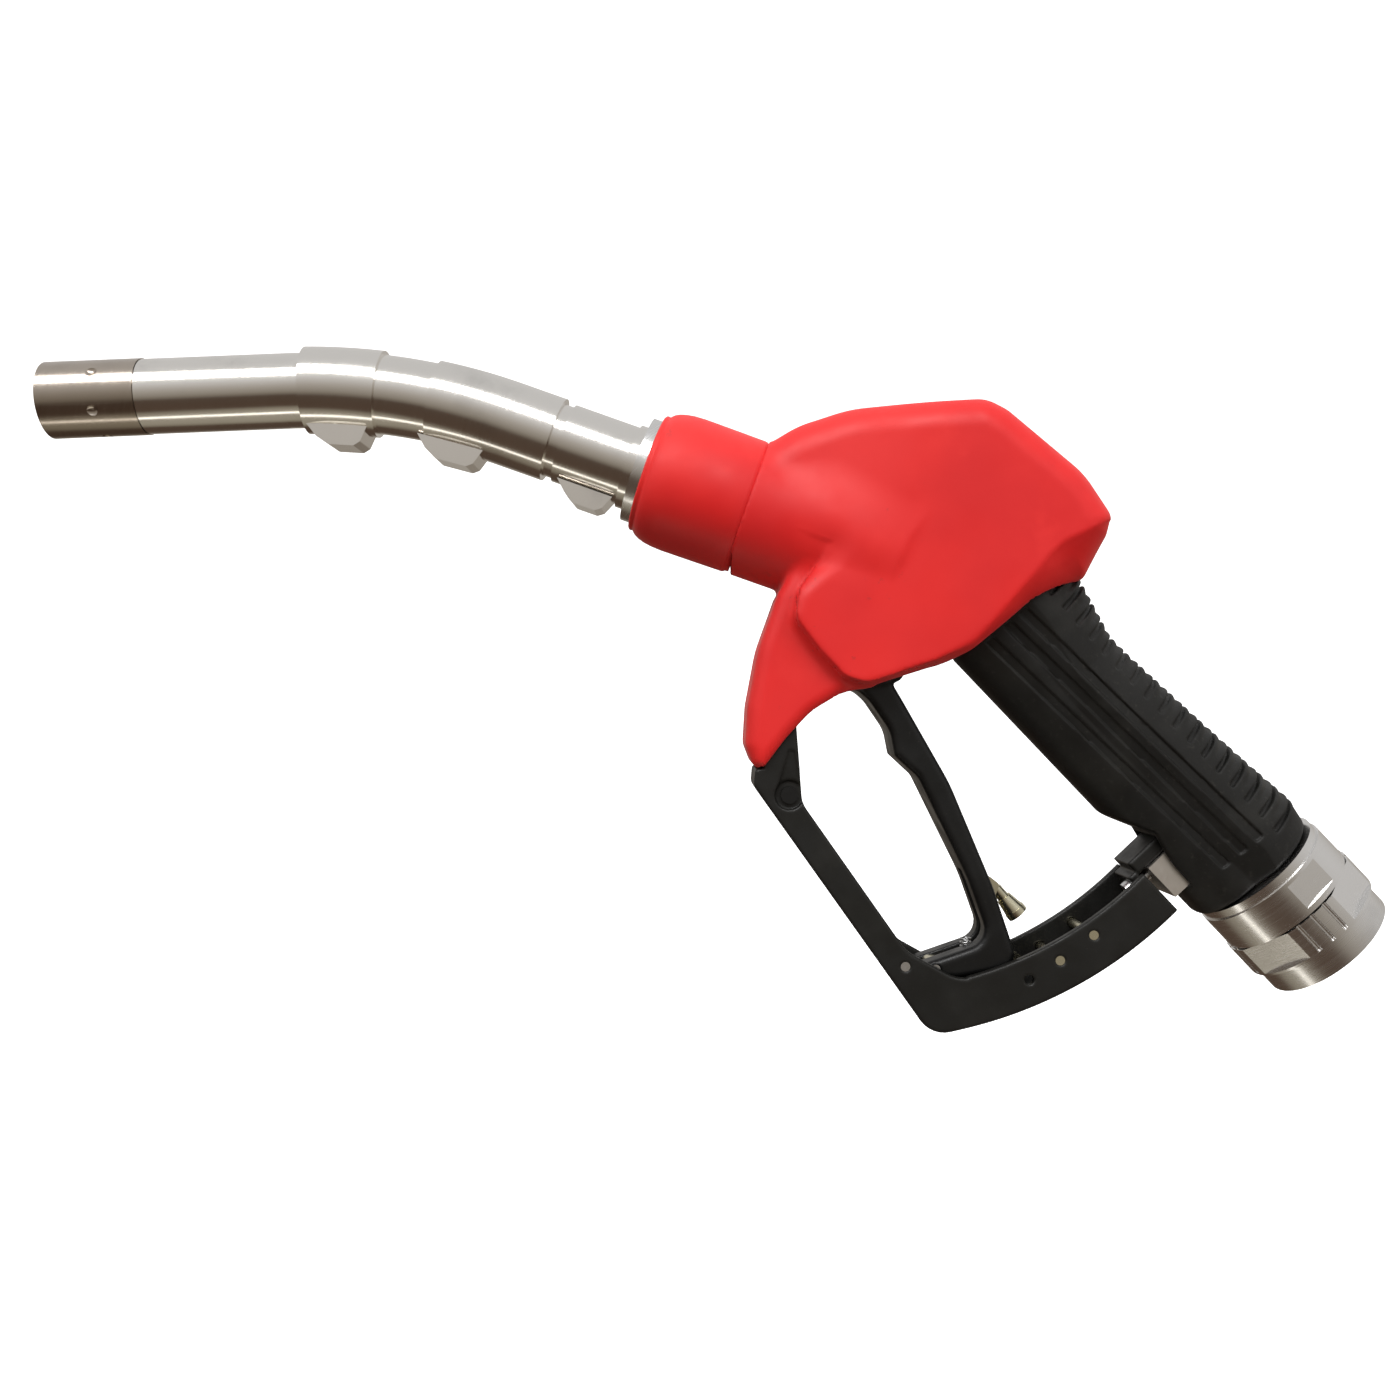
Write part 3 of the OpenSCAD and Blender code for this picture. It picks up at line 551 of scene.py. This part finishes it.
def grip_shape(t, y, s):
    """The grip without its ribs and grooves."""
    back = along(GRIP_BACK, s)
    cut_back = along(GRIP_FRONT_CUT, s)
    half = along(GRIP_HALF, s)
    from_t, to_t = GRIP_FRONT_T + half - 3, back - half
    part = np.clip((t - from_t) / (to_t - from_t), 0, 1)
    radius = half - 3 + 3 * part
    section = np.hypot(y, t - (from_t + part * (to_t - from_t))) - radius
    return smooth_max(section, cut_back - t, 1.5)


def cover_field(x, y, z):
    k, m = BARREL.local(x, z)
    t, s = HANDLE.local(x, z)
    bulk = cover_bulk(x, y, z)
    hollow = bulk + COVER_WALL
    mouth = np.maximum(grip_shape(t, y, s) - 0.35, np.abs(s - MOUTH_MIDDLE) - MOUTH_REACH)
    front = SEAM_K - 0.7 - k
    gap = np.maximum(np.abs(y) - UNDERSIDE_HALF, inside_outline(UNDERSIDE, x, z))
    shell = smooth_max(smooth_max(bulk, -hollow, 0.8), front, 0.3)
    return smooth_max(shell, -np.minimum(mouth, gap), 0.9)


def make_cover():
    obj = skin("body_cover_skin", cover_field, (-192, -31, 52), (-66, 31, 177), 0.8, SIDE,
               finish_of("body_cover"))
    return stands_for(obj, "body_cover")


# ---- Grip ----
GRIP_LOW, GRIP_HIGH = 35.0, 149.6
RIB_PITCH, RIB_CUT, RIB_SWELL = 6.3, 1.5, 0.9
FIRST_CUT, LAST_CUT = 44.0, 146.0
# Depth of the cuts along the handle, less where the sleeve is thin
CUT_DEPTH = ((70, 1.2), (95, 0.5), (128, 0.5), (140, 1.2))
# Places t of the long channels in the sides, at their upper and lower ends
GRIP_LINES = ((-1.1, 3.2), (-7.0, -2.7), (-14.2, -9.2))
LINE_LOW, LINE_HIGH, LINE_DEPTH = 46.5, 146.5, 0.8
GRIP_BORE_R = 15.2


def grip_field(t, y, s):
    body = grip_shape(t, y, s)
    ends = np.maximum(GRIP_LOW - s, s - GRIP_HIGH)
    d = smooth_max(body, ends, 2.0)
    # Cuts between the ribs, across the back, with round ends on the sides
    count = round((LAST_CUT - FIRST_CUT) / RIB_PITCH)
    nearest = np.clip(np.round((s - FIRST_CUT) / RIB_PITCH), 0, count)
    off = s - FIRST_CUT - nearest * RIB_PITCH
    rib_edge = 9.0 - t
    cut = np.hypot(np.maximum(rib_edge, 0), off) - RIB_CUT / 2
    swell = RIB_SWELL * ramp(t, 10, 17) * ramp(s, FIRST_CUT - 3, FIRST_CUT)
    crown = swell * (1 - (2 * off / RIB_PITCH) ** 2)
    d = d - crown
    d = smooth_max(d, -np.maximum(cut, -(body + along(CUT_DEPTH, s))), 0.7)
    for top, bottom in GRIP_LINES:
        lean = (top - bottom) / (LAST_CUT - FIRST_CUT)
        middle = bottom + lean * (s - FIRST_CUT)
        beyond = np.maximum(np.maximum(LINE_LOW - s, s - LINE_HIGH), 0)
        channel = np.hypot(np.maximum(np.abs(t - middle) - 0.7, 0), beyond) - 0.75
        floor = -(body + LINE_DEPTH)
        d = smooth_max(d, -np.maximum(np.maximum(channel, floor), 6 - np.abs(y)), 0.5)
    bore = np.hypot(t, y) - GRIP_BORE_R
    notch = np.maximum(np.maximum(np.abs(y) - 10.3, np.abs(s - 56.2) - 9.1), t + 1)
    return smooth_max(d, -np.minimum(bore, notch), 0.8)


def make_grip():
    obj = skin("grip_sleeve_skin", grip_field, (-27, -22, 33), (26, 22, 152), 0.5, HANDLE,
               finish_of("grip_sleeve"))
    return stands_for(obj, "grip_sleeve")


# ---- Hand guard, lever and the block behind the guard ----
GUARD_CENTRE, GUARD_OUTER, GUARD_INNER, GUARD_WALL = (-150.5, 110.0), 138.2, 122.8, 3.0
ARC_START, ARC_TOP = -118.0, 40.0
GUARD_HALF = 14.25
PIN_R = 1.5
SCREW_R, SCREW_SEAT_R = 2.05, 4.4
LUG_SEAT_HALF = 4.2
DROP_LENGTH = 13
stop_pin = (-137.5, -5.1)
latch_holes = ((-98.9, -9.2), (-89.2, -3.2), (-78.7, 4.7))
front_screw = (-173.7, 48.4)
catch_pivot = flat(joints["catch_turn"]["pos_m"], 1 / MM)
GUARD_LEG = outline([
    (-184.4, 56.4, 0.8), (-184.9, 51.2, 3), (-129.3, -27, 9), (-117.9, -24.3, 0), (-112, -7.4, 0),
    (-120.5, -9.6, 12), (-137, -0.5, 12), (-169.6, 45.8, 8), (-171.8, 74, 1), (-181, 77, 1), (-181.8, 57, 0)])
LEG_POCKET = outline([
    (-171.9, 38.4, 2), (-128.2, -23, 7), (-117.9, -21.2, 0), (-108, 0, 0), (-110, 20, 0), (-140, 20, 0),
    (-161.5, 46.4, 2)])
LUG_SEAT = outline([
    (-171, 118, 0), (-160, 112, 0), (-164.8, 98, 4), (-164.8, 48.2, 0), (-175.9, 41, 3), (-180.8, 53, 4),
    (-180.4, 80, 0)])
GUARD_END_T = -29.4


def guard_field(x, y, z):
    reach = np.hypot(x - GUARD_CENTRE[0], z - GUARD_CENTRE[1])
    arc = np.maximum(reach - GUARD_OUTER, GUARD_INNER - reach)
    arc = np.maximum(arc, np.maximum(ARC_START - x, z - ARC_TOP))
    side = np.minimum(arc, inside_outline(GUARD_LEG, x, z))
    t, s = HANDLE.local(x, z)
    side = np.maximum(side, t - GUARD_END_T)
    d = slab(side, y, GUARD_HALF, 0.8)
    arc_pocket = np.maximum(reach - GUARD_OUTER + GUARD_WALL, ARC_START - x)
    pocket = np.minimum(arc_pocket, inside_outline(LEG_POCKET, x, z))
    pocket = np.maximum(pocket, np.abs(y) - GUARD_HALF + GUARD_WALL)
    seat = np.maximum(inside_outline(LUG_SEAT, x, z), np.abs(y) - LUG_SEAT_HALF)
    d = smooth_max(d, -pocket, 0.6)
    d = smooth_max(d, -seat, 0.6)
    holes = pin_hole(stop_pin, PIN_R, x, z)
    for at in latch_holes:
        holes = np.minimum(holes, pin_hole(at, PIN_R, x, z))
    holes = np.minimum(holes, pin_hole(front_screw, SCREW_R, x, z))
    d = smooth_max(d, -holes, 0.5)
    # Round seat of the screw, with a shallow drop-shaped hollow above it
    head = np.maximum(pin_hole(front_screw, SCREW_SEAT_R, x, z), GUARD_HALF - 1.5 - np.abs(y))
    d = smooth_max(d, -head, 0.5)
    up = z - front_screw[1]
    part = np.clip(up / DROP_LENGTH, 0, 1)
    drop = np.hypot(x - front_screw[0] - 0.6 * part, up - DROP_LENGTH * part) - (4.2 - 3.4 * part)
    hollow = np.maximum(drop, GUARD_HALF - 0.8 * (1 - part) - 0.3 - np.abs(y))
    return smooth_max(d, -hollow, 1.0)


def make_guard():
    obj = skin("hand_guard_skin", guard_field, (-188, -16, -30), (-50, 16, 79), 0.5, SIDE,
               finish_of("hand_guard"))
    return stands_for(obj, "hand_guard")


LEVER_HALF, FORK_HALF, CATCH_SLOT_HALF = 10.4, 4.0, 2.7
LEVER_PIN_R, ROLLER_PIN_R = 2.5, 2.0
LEVER_SIDE = outline([
    (-161.5, 99.5, 4.5), (-150.6, 99.5, 3), (-141.2, 84, 12), (-137.5, 77.7, 0), (-122.8, 51.9, 60),
    (-109.2, 19.5, 60), (-102.2, -1.5, 1), (-103, -7.2, 2), (-130.4, -11, 3), (-133.2, -5.8, 2),
    (-110.2, 2.2, 6), (-117.2, 22, 60), (-132.8, 53.7, 6), (-140.2, 60.6, 1.2), (-141.7, 68.4, 12),
    (-148.3, 78.1, 12), (-164, 91, 5)])
CATCH_SLOT = outline([
    (-132, -30, 0), (-131.4, -3.4, 2), (-112, 3.4, 2), (-119, 24, 2), (-104, 26, 0), (-90, -30, 0)])
CAM_ARM = 17.0
CHEEK = outline([
    (PLUNGER_K - 5, -PIVOT_DROP + 5.6, 4), (PLUNGER_K + CAM_ARM + 4.2, -PIVOT_DROP + 4.2, 4),
    (PLUNGER_K + CAM_ARM + 4.2, -PIVOT_DROP - 4.2, 4), (PLUNGER_K + 4, -PIVOT_DROP - 14, 2),
    (PLUNGER_K - 6, -PIVOT_DROP - 8, 2)])


def lever_field(x, y, z):
    k, m = BARREL.local(x, z)
    d = slab(inside_outline(LEVER_SIDE, x, z), y, LEVER_HALF, 2.2)
    d = smooth_min(d, slab(inside_outline(CHEEK, k, m), y, LEVER_HALF, 1.0), 1.5)
    fork = np.maximum(np.maximum(PLUNGER_K - 10 - k, k - PLUNGER_K - 22), np.abs(y) - FORK_HALF)
    fork = np.maximum(fork, np.maximum(-PIVOT_DROP - 8 - m, m + PIVOT_DROP - 14))
    slot = np.maximum(inside_outline(CATCH_SLOT, x, z), np.abs(y) - CATCH_SLOT_HALF)
    holes = np.minimum(pin_hole(lever_pivot, LEVER_PIN_R, x, z), pin_hole(catch_pivot, PIN_R, x, z))
    holes = np.minimum(holes, pin_hole((PLUNGER_K + CAM_ARM, -PIVOT_DROP), ROLLER_PIN_R, k, m))
    d = smooth_max(d, -np.minimum(fork, slot), 0.6)
    return smooth_max(d, -holes, 0.4)


def make_lever():
    obj = skin("lever_skin", lever_field, (-168, -12, -13), (-98, 12, 106), 0.5, SIDE, finish_of("lever"))
    return stands_for(obj, "lever", "lever")


BLOCK_HALF, BLOCK_FOOT_HALF = 8.0, 10.6
REAR_SCREW_S, REAR_SCREW_R = 55.6, 2.0


def block_field(t, y, s):
    def brick(low_t, high_t, low_s, high_s):
        return np.maximum(np.abs(t - (low_t + high_t) / 2) - (high_t - low_t) / 2,
                          np.abs(s - (low_s + high_s) / 2) - (high_s - low_s) / 2)
    arm = smooth_min(brick(-30, -16, 59.7, 64.6), brick(-33, -29.7, 56, 61.2), 0.6)
    upper = slab(arm, y, BLOCK_HALF, 1.0)
    foot = slab(brick(-33, -29.7, 51, 58), y, BLOCK_FOOT_HALF, 0.8)
    hole = np.hypot(s - REAR_SCREW_S, y) - REAR_SCREW_R
    return smooth_max(np.minimum(upper, foot), -hole, 0.4)


def make_block():
    obj = skin("guard_rear_block_skin", block_field, (-35, -12, 49), (-14, 12, 71), 0.4, HANDLE,
               finish_of("guard_rear_block"))
    return stands_for(obj, "guard_rear_block")


# ---- Metal pieces ----
def chamfer(node, width, segments=2):
    """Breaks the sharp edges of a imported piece."""
    obj = frame["nodes"][node]
    bevel = obj.modifiers.new("broken edges", "BEVEL")
    bevel.width = width * MM
    bevel.segments = segments
    bevel.limit_method = "ANGLE"
    bevel.angle_limit = math.radians(30)
    return obj


def chamfers():
    sleeves = ("spout_middle_sleeve", "spout_rear_sleeve", "spout_front_sleeve")
    for node in (*sleeves, "inlet_ring", "swivel_nut"):
        chamfer(node, 0.3)
    chamfer("spout_anchor_ring", 0.9)
    chamfer("spout_tip_ferrule", 0.6, 4)
    chamfer("spout_nut", 0.5, 3)
    for node in ("catch_knob", "lever_stop_pin", "latch_pins", "guard_front_screw"):
        chamfer(node, 0.25)


def dress_nodes():
    for name, obj in frame["nodes"].items():
        obj.data.materials.clear()
        obj.data.materials.append(finish_of(name))


# ---- Studio ----
def softbox(name, place, aim, size, power, colour=(1, 1, 1), mirrored=True):
    data = bpy.data.lights.new(name, "AREA")
    data.shape = "RECTANGLE"
    data.size, data.size_y = size
    data.energy = power
    data.color = colour
    obj = bpy.data.objects.new(name, data)
    obj.location = place
    obj.rotation_euler = (Vector(aim) - Vector(place)).to_track_quat("-Z", "Y").to_euler()
    obj.visible_glossy = mirrored
    bpy.context.scene.collection.objects.link(obj)


def pale_room(low, radius, height):
    """A pale floor that curves up into a round wall. It shades nothing and nothing mirrors it."""
    f = Finish("pale_paper", (0.86, 0.86, 0.86), 0.9)
    f.tint((0.83, 0.83, 0.83), f.band(f.noise(6, 3), 0.4, 0.7))
    f.bump(f.noise(400, 3), 0.0001, 0.1)
    f.set("Emission Color", (1, 1, 1, 1))
    f.set("Emission Strength", 1.0)
    bend = 0.3 * radius
    path = [(0.02, 0), (radius - bend, 0)]
    for turn in np.linspace(0.1, math.pi / 2, 12):
        path.append((radius - bend + bend * math.sin(turn), bend * (1 - math.cos(turn))))
    path.append((radius, height))
    turns = np.linspace(0, 2 * math.pi, 96, endpoint=False)
    middle = [(cad_box[0][i] + cad_box[1][i]) / 2 for i in (0, 1)]
    points = []
    for turn in turns:
        points += [(middle[0] + r * math.cos(turn), middle[1] + r * math.sin(turn), low + z) for r, z in path]
    n = len(path)
    faces = []
    for i in range(len(turns)):
        here, there = i * n, (i + 1) % len(turns) * n
        faces += [(here + j, there + j, there + j + 1, here + j + 1) for j in range(n - 1)]
    faces.append([i * n for i in reversed(range(len(turns)))])
    obj = mesh_object("floor", np.array(points) / MM, faces, f.material)
    obj.visible_diffuse = False
    obj.visible_glossy = False
    obj.visible_shadow = False


# Colours of the world from straight down (0) to straight up (1)
WORLD_COLOURS = (
    (0.0, (0.34, 0.31, 0.25)), (0.05, (0.30, 0.27, 0.21)), (0.10, (0.08, 0.052, 0.036)),
    (0.29, (0.08, 0.055, 0.04)), (0.38, (0.26, 0.23, 0.19)), (0.52, (0.40, 0.37, 0.33)),
    (0.72, (0.64, 0.63, 0.62)), (1.0, (0.62, 0.62, 0.62)))
ROOM_DROP, ROOM_RADIUS, ROOM_HEIGHT = 0.06, 3.0, 4.0


def studio():
    """Soft lights, the pale room, and a world whose colour depends only on height, for the metal to mirror."""
    low, high = Vector(cad_box[0]), Vector(cad_box[1])
    middle = (low + high) / 2
    pale_room(low.z - ROOM_DROP, ROOM_RADIUS, ROOM_HEIGHT)
    softbox("key", middle + Vector((-0.25, -0.75, 0.85)), middle, (1.4, 0.36), 12.5)
    softbox("fill", middle + Vector((0.9, -0.7, 0.25)), middle, (0.4, 0.9), 4, mirrored=False)
    softbox("top", middle + Vector((0.1, 0.35, 1.0)), middle, (1.4, 0.5), 2.5, mirrored=False)
    softbox("low", middle + Vector((0.0, -0.14, -0.8)), middle, (1.6, 0.1), 0.8, (1, 0.97, 0.9))
    world = bpy.data.worlds.new("studio")
    bpy.context.scene.world = world
    world.use_nodes = True
    tree = world.node_tree
    place = tree.nodes.new("ShaderNodeTexCoord")
    parts = tree.nodes.new("ShaderNodeSeparateXYZ")
    shade = tree.nodes.new("ShaderNodeValToRGB")
    rise = tree.nodes.new("ShaderNodeMapRange")
    rise.inputs["From Min"].default_value = -1
    ramp_points = shade.color_ramp.elements
    while len(ramp_points) < len(WORLD_COLOURS):
        ramp_points.new(0.5)
    for element, (position, colour) in zip(ramp_points, WORLD_COLOURS):
        element.position = position
        element.color = (*colour, 1)
    tree.links.new(place.outputs["Generated"], parts.inputs[0])
    tree.links.new(parts.outputs["Z"], rise.inputs["Value"])
    tree.links.new(rise.outputs["Result"], shade.inputs["Fac"])
    tree.links.new(shade.outputs["Color"], tree.nodes["Background"].inputs["Color"])
    tree.nodes["Background"].inputs["Strength"].default_value = 1.0


# Distance from the plane of symmetry, and the point of it that the camera faces, in metres
CAMERA_DISTANCE = 0.4384
CAMERA_X, CAMERA_Z = -0.2016, 0.0781


def camera():
    data = bpy.data.cameras.new("camera")
    data.lens = 35
    data.sensor_width = 36
    data.clip_start = 0.01
    obj = bpy.data.objects.new("camera", data)
    obj.location = (CAMERA_X, -CAMERA_DISTANCE, CAMERA_Z)
    obj.rotation_euler = (math.pi / 2, 0, 0)
    bpy.context.scene.collection.objects.link(obj)
    bpy.context.scene.camera = obj


bpy.context.scene.view_settings.view_transform = "Standard"
camera()
studio()
dress_nodes()
chamfers()
make_boot()
make_cover()
make_grip()
make_guard()
make_lever()
make_block()
